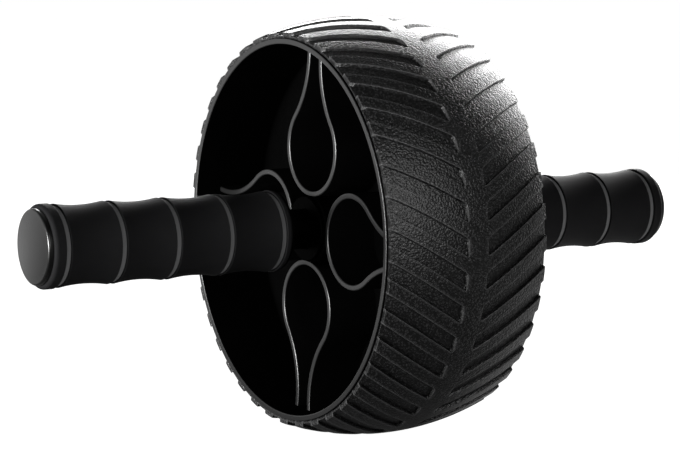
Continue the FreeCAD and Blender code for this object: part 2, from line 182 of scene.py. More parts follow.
def storeMark(tree, geometry, name, value):
    # keeps a number at each point, which a finish reads
    return addNode(tree, "GeometryNodeStoreNamedAttribute", {"data_type": "FLOAT", "domain": "POINT"}, {
        "Geometry": geometry, "Name": name, "Value": value})


def mergePoints(tree, geometry):
    return addNode(tree, "GeometryNodeMergeByDistance", {}, {
        "Geometry": geometry, "Distance": mergeGap["tree"]})


def wrapRound(tree, grid, radius, along, angle):
    # rolls a grid up about the axle line, and closes it where its two ends meet
    place = joinVector(tree, radius * angle.maths("COSINE"), along, radius * angle.maths("SINE"))
    rolled = addNode(tree, "GeometryNodeSetPosition", {}, {"Geometry": grid, "Position": place})
    return mergePoints(tree, rolled)


def ringPlace(tree, radius, along):
    # moves a point straight in or out to that radius, and to that place along Y
    x, y, z = splitVector(tree, addNode(tree, "GeometryNodeInputPosition"))
    reach = (x * x + z * z).maths("SQRT")
    share = radius / reach
    return joinVector(tree, x * share, along(y), z * share)


def pullWalls(tree, skin, steps):
    # draws a wall out of each open edge, step by step, and closes it where the two sides meet
    faces = addNode(tree, "GeometryNodeInputMeshEdgeNeighbors")
    edge = addNode(tree, "FunctionNodeCompare", {"data_type": "INT", "operation": "EQUAL"}, {2: faces, 3: 1})
    for radius, along in steps:
        skin = addNode(tree, "GeometryNodeExtrudeMesh", {"mode": "EDGES"}, {
            "Mesh": skin, "Selection": edge, "Offset Scale": 0.0})
        edge = skin.out("Top")
        skin = addNode(tree, "GeometryNodeSetPosition", {}, {
            "Geometry": skin, "Selection": edge, "Position": ringPlace(tree, radius, along)})
    return mergePoints(tree, skin)


def roundOff(share):
    # how far a rounded edge has dropped, in shares of its radius
    return 1 - (1 - share * share).maths("SQRT")


# Mesh helpers

def tidyMesh(mesh, angle):
    shape = bmesh.new()
    shape.from_mesh(mesh)
    bmesh.ops.remove_doubles(shape, verts=shape.verts, dist=mergeGap["mesh"])
    bmesh.ops.recalc_face_normals(shape, faces=shape.faces)
    shape.to_mesh(mesh)
    shape.free()
    mesh.shade_smooth()
    mesh.set_sharp_from_angle(angle=math.radians(angle))


def roundedOutline(corners, steps=arcSteps):
    # corners are (radius, along) or (radius, along, rounding); roundings become arcs
    points = []
    for number, corner in enumerate(corners):
        here = Vector(corner[:2])
        rounding = corner[2] if len(corner) > 2 else 0
        if not rounding:
            points.append(here)
            continue
        before = (Vector(corners[number - 1][:2]) - here).normalized()
        after = (Vector(corners[(number + 1) % len(corners)][:2]) - here).normalized()
        half = before.angle(after) / 2
        middle = here + (before + after).normalized() * (rounding / math.sin(half))
        first = here + before * (rounding / math.tan(half)) - middle
        last = here + after * (rounding / math.tan(half)) - middle
        turn = first.angle(last)
        for step in range(steps + 1):
            share = step / steps
            swing = (first * math.sin((1 - share) * turn) + last * math.sin(share * turn)) / math.sin(turn)
            points.append(middle + swing)
    return points


def hexReach(angle):
    # how far a hexagon of unit inner radius reaches at that angle
    return 1 / math.cos((angle + math.pi / 6) % (math.pi / 3) - math.pi / 6)


def lathe(name, points, segments, hexFrom=None, hexTo=None):
    # turns a closed outline of (radius, along) about Y; points from hexFrom to hexTo become hexagons
    shape = bmesh.new()
    rings = []
    for step in range(segments):
        angle = math.tau * step / segments
        ring = []
        for number, (radius, along) in enumerate(points):
            isHex = hexFrom is not None and hexFrom <= number <= hexTo
            reach = radius * hexReach(angle) if isHex else radius
            ring.append(shape.verts.new((reach * math.cos(angle), along, reach * math.sin(angle))))
        rings.append(ring)
    for ring, following in zip(rings, rings[1:] + rings[:1]):
        for number in range(len(points)):
            last = (number + 1) % len(points)
            if points[number][0] or points[last][0]:
                shape.faces.new((ring[number], ring[last], following[last], following[number]))
    bmesh.ops.remove_doubles(shape, verts=shape.verts, dist=mergeGap["mesh"])
    bmesh.ops.dissolve_degenerate(shape, edges=shape.edges, dist=mergeGap["mesh"])
    mesh = bpy.data.meshes.new(name)
    shape.to_mesh(mesh)
    shape.free()
    return mesh


def flip(mesh, sign):
    # the left side's pieces are the right side's, mirrored along Y
    if sign < 0:
        mesh.transform(Matrix.Scale(-1, 4, Vector((0, 1, 0))))


def weighNormals(piece):
    weigh = piece.modifiers.new("weigh", "WEIGHTED_NORMAL")
    weigh.keep_sharp = True


def newPiece(name, mesh, material):
    tidyMesh(mesh, sharpAngle["turned"])
    mesh.materials.append(material)
    piece = bpy.data.objects.new(name, mesh)
    scene.collection.objects.link(piece)
    weighNormals(piece)
    return piece


def settle(piece, body, node):
    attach(piece, body)
    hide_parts(node)


# Finishes: one look for each material slot, and one more for the loops in the wheel: the same plastic,
# painted paler on the loops as painted light and darker on the shell as painted shade

def camelName(slot):
    first, second = slot.split("_")
    return first + second.title()


def newFinish(slot, look, pattern):
    material = bpy.data.materials.new(camelName(slot))
    material.use_nodes = True
    tree = material.node_tree
    shader = tree.nodes["Principled BSDF"]
    for socket, value in look["fixed"].items():
        shader.inputs[socket].default_value = value
    place = addNode(tree, "ShaderNodeTexCoord", output="Object")
    for socket, wire in pattern(tree, place, look).items():
        tree.links.new(wire.socket, shader.inputs[socket])
    return material


def noise(tree, place, size, detail=2.0, roughness=0.5):
    return addNode(tree, "ShaderNodeTexNoise", {}, {
        "Vector": place, "Scale": 1 / size, "Detail": detail, "Roughness": roughness})


def pebbles(tree, place, size, softness):
    return addNode(tree, "ShaderNodeTexVoronoi", {"feature": "SMOOTH_F1"}, {
        "Vector": place, "Scale": 1 / size, "Smoothness": softness})


def readMark(tree, name):
    return addNode(tree, "ShaderNodeAttribute", {"attribute_name": name}, output="Fac")


def blendColour(tree, share, first, second):
    # sockets 6 and 7 are the two colours, and output 2 is the blend
    ends = [end if isinstance(end, Wire) else (*end, 1) for end in (first, second)]
    return addNode(tree, "ShaderNodeMix", {"data_type": "RGBA"}, {0: share, 6: ends[0], 7: ends[1]}, 2)


def bump(tree, height, strength, distance):
    return addNode(tree, "ShaderNodeBump", {}, {
        "Height": height, "Strength": strength, "Distance": distance})


treadFinish = {
    "fixed": {"Specular IOR Level": 0.36},
    "dark": (0.0003, 0.0003, 0.0003), "light": (0.0095, 0.0095, 0.0097),
    "edge": (0.028, 0.028, 0.0284),                                   # painted highlight along a pocket's edge
    "roughness": 0.31, "patchRoughness": 0.08, "grainRoughness": 0.08,
    "endRoughness": 0.4,                                              # added on a pocket's end wall
    "grain": 1 * mm, "grainSoftness": 0.6, "grainStrength": 1.0, "grainHeight": 0.26 * mm,
    "fineGrain": 0.6 * mm, "fineShare": 0.5, "patch": 14 * mm, "patchDetail": 3.0, "patchShare": 0.6,
    "speckFrom": 0.76, "speckGain": 4.5, "speckShare": 0.6,           # only the tops of the grain are paler
}


def treadPattern(tree, place, look):
    rounds = pebbles(tree, place, look["grain"], look["grainSoftness"])
    fine = noise(tree, place, look["fineGrain"])
    patches = noise(tree, place, look["patch"], look["patchDetail"])
    height = (1 - rounds) + fine * look["fineShare"]
    speck = ((height - look["speckFrom"]) * look["speckGain"]).held()
    paler = speck * (look["speckShare"] + patches * look["patchShare"])
    grained = blendColour(tree, paler, look["dark"], look["light"])
    roughness = look["roughness"] + patches * look["patchRoughness"] + rounds * look["grainRoughness"]
    return {
        # the paler line along each pocket's edge is a painted highlight
        "Base Color": blendColour(tree, readMark(tree, "paintedEdgeHighlight"), grained, look["edge"]),
        "Roughness": roughness + readMark(tree, "pocketEnd") * look["endRoughness"],
        "Normal": bump(tree, height, look["grainStrength"], look["grainHeight"]),
    }


gripFinish = {
    "fixed": {"Specular IOR Level": 0.03},
    "dark": (0.0038, 0.0038, 0.004), "light": (0.0064, 0.0064, 0.0067), "groove": (0.066, 0.066, 0.067),
    "roughness": 0.62, "grainRoughness": 0.08, "patchRoughness": 0.06,
    "grain": 0.5 * mm, "grainDetail": 3.0, "grainStrength": 0.35, "grainHeight": 0.05 * mm,
    "patch": 9 * mm, "patchShare": 0.5, "grainShare": 0.5,
}


def gripPattern(tree, place, look):
    fine = noise(tree, place, look["grain"], look["grainDetail"])
    patches = noise(tree, place, look["patch"])
    paler = patches * look["patchShare"] + fine * look["grainShare"]
    rubber = blendColour(tree, paler, look["dark"], look["light"])
    return {
        "Base Color": blendColour(tree, readMark(tree, "inGroove"), rubber, look["groove"]),
        "Roughness": look["roughness"] + fine * look["grainRoughness"] + patches * look["patchRoughness"],
        "Normal": bump(tree, fine, look["grainStrength"], look["grainHeight"]),
    }


plasticGrain = {
    "detail": 3.0, "grainShare": 0.3, "grainStrength": 0.3, "grainRoughness": 0.05,
    "patchGrains": 40, "patchShare": 0.7, "patchRoughness": 0.08,
}
wheelGloss = {"Specular IOR Level": 0.0, "Coat Roughness": 0.36}      # dull, with a coat on polished edges
plastics = {
    # the wheel's shell, painted darker than its loops as painted shade in the drum
    "wheel_plastic": {
        "fixed": wheelGloss,
        "dark": (0.0004, 0.0004, 0.0004), "light": (0.0009, 0.0009, 0.0009),
        "roughness": 0.5, "grain": 0.3 * mm, "grainHeight": 0.01 * mm},
    # the same plastic on the loops, painted paler as painted light
    "loop_plastic": {
        "fixed": wheelGloss,
        "dark": (0.0016, 0.0016, 0.0016), "light": (0.0032, 0.0032, 0.0032),
        "roughness": 0.5, "grain": 0.3 * mm, "grainHeight": 0.01 * mm},
    # near-black, darkened further as painted shade on the collars and handle cores
    "core_plastic": {
        "fixed": {"Specular IOR Level": 0.015},
        "dark": (0.0001, 0.0001, 0.0001), "light": (0.0002, 0.0002, 0.0002),
        "roughness": 0.55, "grain": 0.3 * mm, "grainHeight": 0.01 * mm},
    "cap_plastic": {
        "fixed": {"Specular IOR Level": 0.35},
        "dark": (0.0006, 0.0006, 0.0006), "light": (0.0012, 0.0012, 0.0012),
        "roughness": 0.22, "grain": 0.25 * mm, "grainHeight": 0.004 * mm},
    "seal_rubber": {
        "fixed": {"Specular IOR Level": 0.35},
        "dark": (0.008, 0.008, 0.008), "light": (0.016, 0.016, 0.016),
        "roughness": 0.5, "grain": 0.4 * mm, "grainHeight": 0.03 * mm},
}


def plasticPattern(tree, place, look):
    fine = noise(tree, place, look["grain"], look["detail"])
    patches = noise(tree, place, look["grain"] * look["patchGrains"], look["detail"])
    paler = patches * look["patchShare"] + fine * look["grainShare"]
    sockets = {
        "Base Color": blendColour(tree, paler, look["dark"], look["light"]),
        "Roughness": look["roughness"] + patches * look["patchRoughness"] + fine * look["grainRoughness"],
        "Normal": bump(tree, fine, look["grainStrength"], look["grainHeight"]),
    }
    if "Coat Roughness" in look["fixed"]:
        sockets["Coat Weight"] = readMark(tree, "polished")
    return sockets


metalGrain = {
    "fixed": {"Metallic": 1.0},
    "line": 0.4 * mm, "lineDetail": 4.0, "lineBreaks": 0.6, "lineShare": 0.6, "lineRoughness": 0.14,
    "lineStrength": 0.15, "lineHeight": 0.02 * mm, "cloud": 6 * mm, "cloudShare": 0.4,
}
metals = {
    # a stretch under 1 draws the lines out along the axle, and one over 1 draws them round it
    "axle_steel": {
        "dark": (0.42, 0.43, 0.44), "light": (0.6, 0.6, 0.6), "roughness": 0.28, "stretch": 0.04},
    "screw_steel": {
        "dark": (0.5, 0.5, 0.48), "light": (0.68, 0.68, 0.65), "roughness": 0.3, "stretch": 1},
    "black_steel": {
        "dark": (0.05, 0.05, 0.052), "light": (0.1, 0.1, 0.102), "roughness": 0.38, "stretch": 1},
    "bearing_steel": {
        "dark": (0.58, 0.58, 0.6), "light": (0.72, 0.72, 0.73), "roughness": 0.14, "stretch": 6},
    "cage_steel": {
        "dark": (0.42, 0.4, 0.36), "light": (0.58, 0.56, 0.5), "roughness": 0.34, "stretch": 4},
}


def metalPattern(tree, place, look):
    drawn = addNode(tree, "ShaderNodeMapping", {}, {"Vector": place, "Scale": (1, look["stretch"], 1)})
    lines = noise(tree, drawn, look["line"], look["lineDetail"], look["lineBreaks"])
    cloud = noise(tree, place, look["cloud"])
    paler = lines * look["lineShare"] + cloud * look["cloudShare"]
    return {
        "Base Color": blendColour(tree, paler, look["dark"], look["light"]),
        "Roughness": look["roughness"] + lines * look["lineRoughness"],
        "Normal": bump(tree, lines, look["lineStrength"], look["lineHeight"]),
    }


finishes = {
    "tread_rubber": newFinish("tread_rubber", treadFinish, treadPattern),
    "grip_rubber": newFinish("grip_rubber", gripFinish, gripPattern),
}
for slot, look in plastics.items():
    finishes[slot] = newFinish(slot, dict(plasticGrain, **look), plasticPattern)
for slot, look in metals.items():
    finishes[slot] = newFinish(slot, dict(metalGrain, **look), metalPattern)

slotOf = {part["node"]: part["material_slot"] for part in frame["record"]["subparts"]}
for nodeName, node in frame["nodes"].items():
    node.data.materials.clear()
    node.data.materials.append(finishes[slotOf[nodeName]])
print("finishes:", len(finishes))


# Tyre: a crowned grid whose rows lean with the pockets, so that every pocket wall follows a row

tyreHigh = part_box("tyre")[1]
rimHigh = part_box("right_wheel_half")[1]
rimRadius = rimHigh.z

tyre = {
    "treadRadius": tyreHigh.z,
    "halfWidth": tyreHigh.y,
    "crownRadius": 128 * mm,                              # of the arc across the tread
    "bandHalf": 5 * mm,                                   # of the smooth middle band
    "pocketCount": 40,
    "floorCells": 3, "wallCells": 7, "ribCells": 3,       # round the wheel, for half a pitch
    "bandCells": 3, "endCells": 10, "flankCells": 16,     # across, from the middle to one edge
    "pocketShare": 0.55,                                  # of the pitch
    "pocketDepth": 1.5 * mm,
    "pocketWall": 0.5 * mm,
    "pocketCorner": 1.5 * mm,
    "paintedHighlightReach": 0.22 * mm,                               # of the painted highlight along a pocket's edge
    "wallMark": 8.0,                                      # how fast the mark on an end wall rises
    "margin": 0.15 * mm,                                  # of the finely divided strip past a pocket wall
    "lean": math.radians(12.5) / (36 * mm),               # turn per metre away from the band
    "phase": math.radians(3.98),                          # where the count of pockets starts
    "seamRadius": rimRadius + 0.6 * mm,
    "seatRadius": rimRadius - 0.6 * mm,
    "seamInset": 1.2 * mm,
}


def bunched(cells, stretches):
    # where a row lies, when each stretch has its own number of rows and its own length
    place = 0.0
    start = 0.0
    for count, length in stretches:
        place = ((cells - start) / count).held() * length + place
        start = count + start
    return place


def treadTree(values):
    tree, size, identifiers = newTree("treadRule", values)
    pitch = math.tau * size["treadRadius"] / size["pocketCount"]
    halfPocket = pitch * size["pocketShare"] / 2
    fineStart = halfPocket - size["pocketWall"] - size["margin"]
    fineEnd = halfPocket + size["margin"]
    halfCells = size["floorCells"] + size["wallCells"] + size["ribCells"]
    halfRows = size["bandCells"] + size["endCells"] + size["flankCells"]
    grid, u, v = unitGrid(tree, size["pocketCount"] * halfCells * 2, halfRows * 2)

    # across a pocket from its middle, and away from the middle of the band
    count = (u + 0.5) * size["pocketCount"]
    share = count.maths("FRACT") - 0.5
    fromMiddle = bunched(share.maths("ABSOLUTE") * halfCells * 2, (
        (size["floorCells"], fineStart),
        (size["wallCells"], fineEnd - fineStart),
        (size["ribCells"], pitch / 2 - fineEnd),
    ))
    bandEnd = size["bandHalf"] - size["margin"]
    endStrip = size["pocketCorner"] + size["margin"] * 2
    fromBand = bunched(v.maths("ABSOLUTE") * halfRows * 2, (
        (size["bandCells"], bandEnd),
        (size["endCells"], endStrip),
        (size["flankCells"], size["halfWidth"] - bandEnd - endStrip),
    ))
    along = fromBand * v.maths("SIGN")
    past = fromBand - size["bandHalf"]
    turn = count.maths("FLOOR") + 0.5 + share.maths("SIGN") * fromMiddle / pitch
    angle = turn * math.tau / size["pocketCount"] + past.maths("MAXIMUM", 0) * size["lean"] + size["phase"]

    # distance inside a pocket's rounded edge, in the leaning rows
    beside = (fromMiddle - halfPocket + size["pocketCorner"]).maths("MAXIMUM", 0)
    before = (size["pocketCorner"] - past).maths("MAXIMUM", 0)
    inside = size["pocketCorner"] - (beside * beside + before * before).maths("SQRT")
    down = (inside / size["pocketWall"]).held()

    # marks for the finish: the painted highlight along a pocket's edge, and the walls at its two ends
    highlightLine = (1 - inside.maths("ABSOLUTE") / size["paintedHighlightReach"]).maths("MAXIMUM", 0)
    onWall = (down * (1 - down) * size["wallMark"]).maths("MINIMUM", 1)
    atRim = fromBand.maths("GREATER_THAN", size["halfWidth"] - size["margin"])
    marked = storeMark(tree, grid, "paintedEdgeHighlight", highlightLine)
    marked = storeMark(tree, marked, "pocketEnd", onWall * (before / size["pocketCorner"] + atRim))

    crownArc = (size["crownRadius"] * size["crownRadius"] - along * along).maths("SQRT")
    crown = size["treadRadius"] - size["crownRadius"] + crownArc
    skin = wrapRound(tree, marked, crown - roundOff(down) * size["pocketDepth"], along, angle)

    # side walls, seam chamfer and the seat under the tread
    inset = size["halfWidth"] - size["seamInset"]
    skin = pullWalls(tree, skin, (
        (size["seamRadius"], lambda y: y),
        (size["seatRadius"], lambda y: y.maths("SIGN") * inset),
        (size["seatRadius"], lambda y: y * 0),
    ))
    endTree(tree, skin, size["rubber"])
    return tree, identifiers


def buildTyre():
    values = dict(tyre, rubber=finishes["tread_rubber"])
    tree, identifiers = treadTree(values)
    piece = grow("treadTyre", tree, values, identifiers)
    tidyMesh(piece.data, sharpAngle["tread"])
    settle(piece, "wheel", "tyre")
    print("tyre:", len(piece.data.polygons), "faces")


buildTyre()


# Wheel halves: a turned shell each, with four loops on its web

shell = {
    "rimWall": 2.5 * mm, "lipHeight": 0.6 * mm, "lipWidth": 0.7 * mm, "rimRound": 0.5 * mm,
    "webWall": 4 * mm, "webRound": 1.6 * mm, "hubRadius": 16.4 * mm, "hubRound": 0.6 * mm,
    "seatRadius": 12.03 * mm, "seatDepth": 6.6 * mm, "boreRadius": 10.4 * mm,
    "polishReach": 0.45 * mm,                             # from the rim's face
    "segments": 192,
}
loop = {
    "count": 4, "firstAngle": math.radians(86), "recess": 13.5 * mm, "wall": 2.6 * mm,
    "lobeRadius": 22.6 * mm, "neckHalf": 6.5 * mm, "neckToRim": 5.7 * mm, "edgeRound": 0.55 * mm,
    "hubBite": 1 * mm, "rimBite": shell["rimWall"] / 3,   # how far a loop runs into the hub and the rim
    "polishReach": 0.5 * mm,                              # from the loop's free edge
    "stepAngle": math.radians(4), "roundSteps": 4,
}
rimFace = rimHigh.y
rimInside = rimRadius - shell["rimWall"]
hubFace = rimFace - loop["recess"]


def shellOutline():
    tyreSeat = rimRadius - shell["lipHeight"]
    lipStart = rimFace - shell["lipWidth"]
    return roundedOutline([
        (shell["boreRadius"], 0),
        (tyreSeat, 0),
        (tyreSeat, lipStart),
        (rimRadius, lipStart),
        (rimRadius, rimFace, shell["rimRound"] / 2),
        (rimInside, rimFace, shell["rimRound"]),
        (rimInside, shell["webWall"], shell["webRound"]),
        (shell["hubRadius"], shell["webWall"], shell["webRound"]),
        (shell["hubRadius"], hubFace, shell["hubRound"]),
        (shell["seatRadius"], hubFace, shell["hubRound"] / 2),
        (shell["seatRadius"], hubFace - shell["seatDepth"]),
        (shell["boreRadius"], hubFace - shell["seatDepth"]),
    ])


def arcWays(start, finish):
    # unit directions along an arc, a few degrees apart
    count = max(2, round(abs(finish - start) / loop["stepAngle"]))
    angles = [start + (finish - start) * step / count for step in range(count + 1)]
    return [Vector((math.cos(angle), math.sin(angle))) for angle in angles]


def loopStations():
    # points along the wall's middle line with the way across it, from rim to rim round the lobe
    lobe = loop["lobeRadius"]
    halfWall = loop["wall"] / 2
    lobeMiddle = Vector((shell["hubRadius"] + lobe - loop["hubBite"], 0))
    neckPlace = rimInside - loop["neckToRim"]
    span = neckPlace - lobeMiddle.x
    hollow = (span ** 2 + loop["neckHalf"] ** 2 - lobe ** 2) / (2 * (lobe - loop["neckHalf"]))
    hollowMiddle = Vector((neckPlace, loop["neckHalf"] + hollow))
    meet = math.atan2(hollowMiddle.y, span)
    rimTurn = math.asin((loop["neckToRim"] + loop["rimBite"]) / hollow)

    # the upper half, down the neck and round the lobe, and then its mirror image
    stations = []
    for outward in arcWays(-math.pi / 2 + rimTurn, meet - math.pi):
        stations.append((hollowMiddle + outward * (hollow + halfWall), -outward))
    for outward in arcWays(meet, math.pi)[1:]:
        stations.append((lobeMiddle + outward * (lobe - halfWall), outward))
    for point, across in stations[-2::-1]:
        stations.append((Vector((point.x, -point.y)), Vector((across.x, -across.y))))
    return stations


def loopMesh():
    # one loop wall standing on the web along +Y, its free edge rounded
    half = loop["wall"] / 2
    foot = shell["webWall"] / 2
    section = roundedOutline([
        (-half, foot), (half, foot), (half, hubFace, loop["edgeRound"]), (-half, hubFace, loop["edgeRound"]),
    ], loop["roundSteps"])
    shape = bmesh.new()
    rings = []
    for place, across in loopStations():
        flat = [(place + across * offset, height) for offset, height in section]
        rings.append([shape.verts.new((point.x, height, point.y)) for point, height in flat])
    for ring, following in zip(rings, rings[1:]):
        for number in range(len(section)):
            last = (number + 1) % len(section)
            shape.faces.new((ring[number], ring[last], following[last], following[number]))
    shape.faces.new(rings[0])
    shape.faces.new(rings[-1])
    mesh = bpy.data.meshes.new("loopWall")
    shape.to_mesh(mesh)
    shape.free()
    return mesh


def ringTree(values):
    # copies of the base mesh, evenly turned about the axle
    tree, size, identifiers = newTree("copiesRound", values)
    points = addNode(tree, "GeometryNodeMeshLine", {}, {"Count": size["count"], "Offset": (0, 0, 0)})
    index = addNode(tree, "GeometryNodeInputIndex")
    angle = size["firstAngle"] + index * math.tau / size["count"]
    turn = joinVector(tree, 0.0, angle * -1, 0.0)
    copies = addNode(tree, "GeometryNodeInstanceOnPoints", {}, {
        "Points": points, "Instance": size["Geometry"], "Rotation": turn})
    endTree(tree, copies, size["finish"])
    return tree, identifiers


def ringOf(name, mesh, firstAngle, finish):
    values = {"count": loop["count"], "firstAngle": firstAngle, "finish": finish}
    tree, identifiers = ringTree(values)
    piece = grow(name, tree, values, identifiers, mesh)
    tidyMesh(piece.data, sharpAngle["copies"])
    weighNormals(piece)
    return piece


def polishEdge(mesh, start):
    # marks the points beyond that place along Y, for the finish
    marks = mesh.attributes.new("polished", "FLOAT", "POINT").data
    for vertex, mark in zip(mesh.vertices, marks):
        mark.value = float(vertex.co.y > start)


def buildWheelHalves():
    for side, sign in sides.items():
        name = f"{side}WheelShell"
        turned = lathe(name, shellOutline(), shell["segments"])
        polishEdge(turned, rimFace - shell["polishReach"])
        flip(turned, sign)
        piece = newPiece(name, turned, finishes["wheel_plastic"])
        settle(piece, "wheel", f"{side}_wheel_half")
        wall = loopMesh()
        polishEdge(wall, hubFace - loop["polishReach"])
        flip(wall, sign)
        # the loops take the paler copy of the wheel plastic, painted light
        loops = ringOf(f"{side}SpokeLoops", wall, loop["firstAngle"], finishes["loop_plastic"])
        settle(loops, "wheel", f"{side}_spoke_loops")
    print("wheel halves: done")


buildWheelHalves()


# Screws and nuts that clamp the halves, midway between the loops

screw = {
    "circle": 58 * mm, "radius": 2 * mm, "end": 1 * mm, "tipRound": 0.4 * mm,
    "headRadius": 4 * mm, "headHeight": 2.4 * mm, "headRound": 1.4 * mm, "seatRound": 0.3 * mm,
    "socketRadius": 1.25 * mm, "socketDepth": 1.3 * mm, "segments": 36,
}
nut = {"flats": 7 * mm, "height": 3.2 * mm, "chamfer": 0.5 * mm}


def screwMesh():
    # head towards +Y; the two points of the socket's wall turn into hexagons
    seat = shell["webWall"]
    top = seat + screw["headHeight"]
    tip = -(seat + nut["height"] + screw["end"])
    socketFloor = top - screw["socketDepth"]
    points = roundedOutline([
        (0, tip),
        (screw["radius"], tip, screw["tipRound"]),
        (screw["radius"], seat),
        (screw["headRadius"], seat, screw["seatRound"]),
        (screw["headRadius"], top, screw["headRound"]),
        (screw["socketRadius"], top),
        (screw["socketRadius"], socketFloor),
        (0, socketFloor),
    ])
    return lathe("screwOne", points, screw["segments"], len(points) - 3, len(points) - 2)


def nutMesh():
    # the two points of the flats turn into hexagons
    seat = shell["webWall"]
    top = seat + nut["height"]
    half = nut["flats"] / 2
    chamfer = nut["chamfer"]
    points = [
        (screw["radius"], seat), (half - chamfer, seat), (half, seat + chamfer),
        (half, top - chamfer), (half - chamfer, top), (screw["radius"], top),
    ]
    return lathe("nutOne", points, screw["segments"], 2, 3)


def buildFasteners():
    angle = loop["firstAngle"] + math.pi / loop["count"]
    outward = Matrix.Translation((screw["circle"], 0, 0))
    kinds = {
        "wheelScrews": (screwMesh(), "left", "wheel_screws"),
        "wheelNuts": (nutMesh(), "right", "wheel_nuts"),
    }
    for name, (mesh, side, node) in kinds.items():
        flip(mesh, sides[side])
        mesh.transform(outward)
        piece = ringOf(name, mesh, angle, finishes["black_steel"])
        settle(piece, "wheel", node)
    print("fasteners: done")


buildFasteners()


# Grips: finger saddles between square grooves, on a grid wrapped round the axle line

gripLow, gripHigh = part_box("right_grip")

grip = {
    "start": gripLow.y,
    "finish": gripHigh.y,
    "peakRadius": gripHigh.z,
    "firstGroove": gripLow.y + 4.5 * mm,
    "lastGroove": gripHigh.y - 6.7 * mm,
    "saddles": 4,
    "rows": 760,
    "around": 104,
    "saddleDepth": 1.4 * mm,
    "grooveDepth": 1.1 * mm,
    "grooveHalf": 1.2 * mm,
    "greyInset": 0.2 * mm,                                # from a groove's wall to its grey floor
    "shoulder": 0.45 * mm,
    "endRound": 1.8 * mm,
    "coreRadius": 14 * mm,
}


def gripTree(values):
    tree, size, identifiers = newTree("gripRule", values)
    grid, u, v = unitGrid(tree, size["around"], size["rows"])
    angle = (u + 0.5) * math.tau
    along = size["start"] + (v + 0.5) * (size["finish"] - size["start"])

    # saddles are parabolas from groove to groove, with rounded shoulders beside each groove
    pitch = (size["lastGroove"] - size["firstGroove"]) / size["saddles"]
    count = (along - size["firstGroove"]) / pitch
    station = count.held(0, size["saddles"])
    share = station.maths("FRACT")
    hollow = share * (1 - share) * 4 * size["saddleDepth"]
    toGroove = (count - station.maths("ROUND")).maths("ABSOLUTE") * pitch
    shoulder = roundOff((1 - (toGroove - size["grooveHalf"]) / size["shoulder"]).held()) * size["shoulder"]
    inGroove = toGroove.maths("LESS_THAN", size["grooveHalf"])
    toEnd = (along - size["start"]).maths("MINIMUM", size["finish"] - along)
    rounding = roundOff((1 - toEnd / size["endRound"]).held()) * size["endRound"]
    saddled = size["peakRadius"] - hollow - shoulder
    radius = saddled.maths("MINIMUM", size["peakRadius"] - inGroove * size["grooveDepth"]) - rounding

    onFloor = toGroove.maths("LESS_THAN", size["grooveHalf"] - size["greyInset"])
    marked = storeMark(tree, grid, "inGroove", onFloor)
    skin = wrapRound(tree, marked, radius, along, angle)

    # end faces, and the bore that fits the handle core
    middle = (size["start"] + size["finish"]) / 2
    skin = pullWalls(tree, skin, (
        (size["coreRadius"], lambda y: y),
        (size["coreRadius"], lambda y: y * 0 + middle),
    ))
    endTree(tree, skin, size["rubber"])
    return tree, identifiers


def buildGrips():
    values = dict(grip, rubber=finishes["grip_rubber"])
    tree, identifiers = gripTree(values)
    for side, sign in sides.items():
        piece = grow(f"{side}GripSleeve", tree, values, identifiers)
        flip(piece.data, sign)
        tidyMesh(piece.data, sharpAngle["grip"])
        settle(piece, "handlebar", f"{side}_grip")
    print("grips: done")


buildGrips()


# Turned plastic pieces of the handles

capLow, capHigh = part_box("right_end_cap")
cap = {
    "round": 1 * mm, "backRound": 0.4 * mm, "edge": 1.4 * mm, "dome": 0.8 * mm, "domeSteps": 8,
    "spigotRadius": 8.97 * mm, "spigotWall": 1.5 * mm, "spigotRound": 0.4 * mm, "segments": 128,
}
collarLow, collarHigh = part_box("right_collar")
collar = {
    "bore": 6.03 * mm, "foot": 7.63 * mm, "neck": 9.5 * mm, "round": 0.5 * mm,
    "discStart": 29.9 * mm, "discWall": 1.6 * mm, "discRound": 0.2 * mm, "segments": 96,
}
coreLow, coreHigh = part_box("right_handle_core")
core = {
    "bore": 6.03 * mm, "radius": 14 * mm, "flangeWall": 1 * mm, "round": 0.35 * mm,
    "pocket": 9 * mm, "pocketDepth": 12.5 * mm, "floor": 3 * mm, "screwHole": 3.2 * mm, "segments": 96,
}


def capOutline():
    # a shallow dome over the face, and a hollow spigot behind it
    back = gripHigh.y
    inner = cap["spigotRadius"] - cap["spigotWall"]
    edge = capHigh.z - cap["edge"]
    face = capHigh.y + cap["dome"] / 2
    shares = [1 - step / cap["domeSteps"] for step in range(cap["domeSteps"] + 1)]
    dome = [(edge * share, face - cap["dome"] * share ** 2) for share in shares]
    return roundedOutline([
        (0, back),
        (inner, back),
        (inner, capLow.y),
        (cap["spigotRadius"], capLow.y, cap["spigotRound"]),
        (cap["spigotRadius"], back),
        (capHigh.z, back, cap["backRound"]),
        (capHigh.z, face - cap["dome"], cap["round"]),
    ] + dome)


def collarOutline():
    discEnd = collar["discStart"] + collar["discWall"]
    return roundedOutline([
        (collar["bore"], collarLow.y),
        (collar["foot"], collarLow.y),
        (collar["foot"], collar["discStart"]),
        (collarHigh.z, collar["discStart"], collar["discRound"]),
        (collarHigh.z, discEnd, collar["round"]),
        (collar["neck"], discEnd, collar["round"]),
        (collar["neck"], collarHigh.y),
        (collar["bore"], collarHigh.y),
    ])


def coreOutline():
    flangeEnd = coreLow.y + core["flangeWall"]
    pocketFloor = coreHigh.y - core["pocketDepth"]
    boreEnd = pocketFloor - core["floor"]
    return roundedOutline([
        (core["bore"], coreLow.y),
        (coreHigh.z, coreLow.y, core["round"]),
        (coreHigh.z, flangeEnd, core["round"]),
        (core["radius"], flangeEnd),
        (core["radius"], coreHigh.y),
        (core["pocket"], coreHigh.y),
        (core["pocket"], pocketFloor),
        (core["screwHole"], pocketFloor),
        (core["screwHole"], boreEnd),
        (core["bore"], boreEnd),
    ])


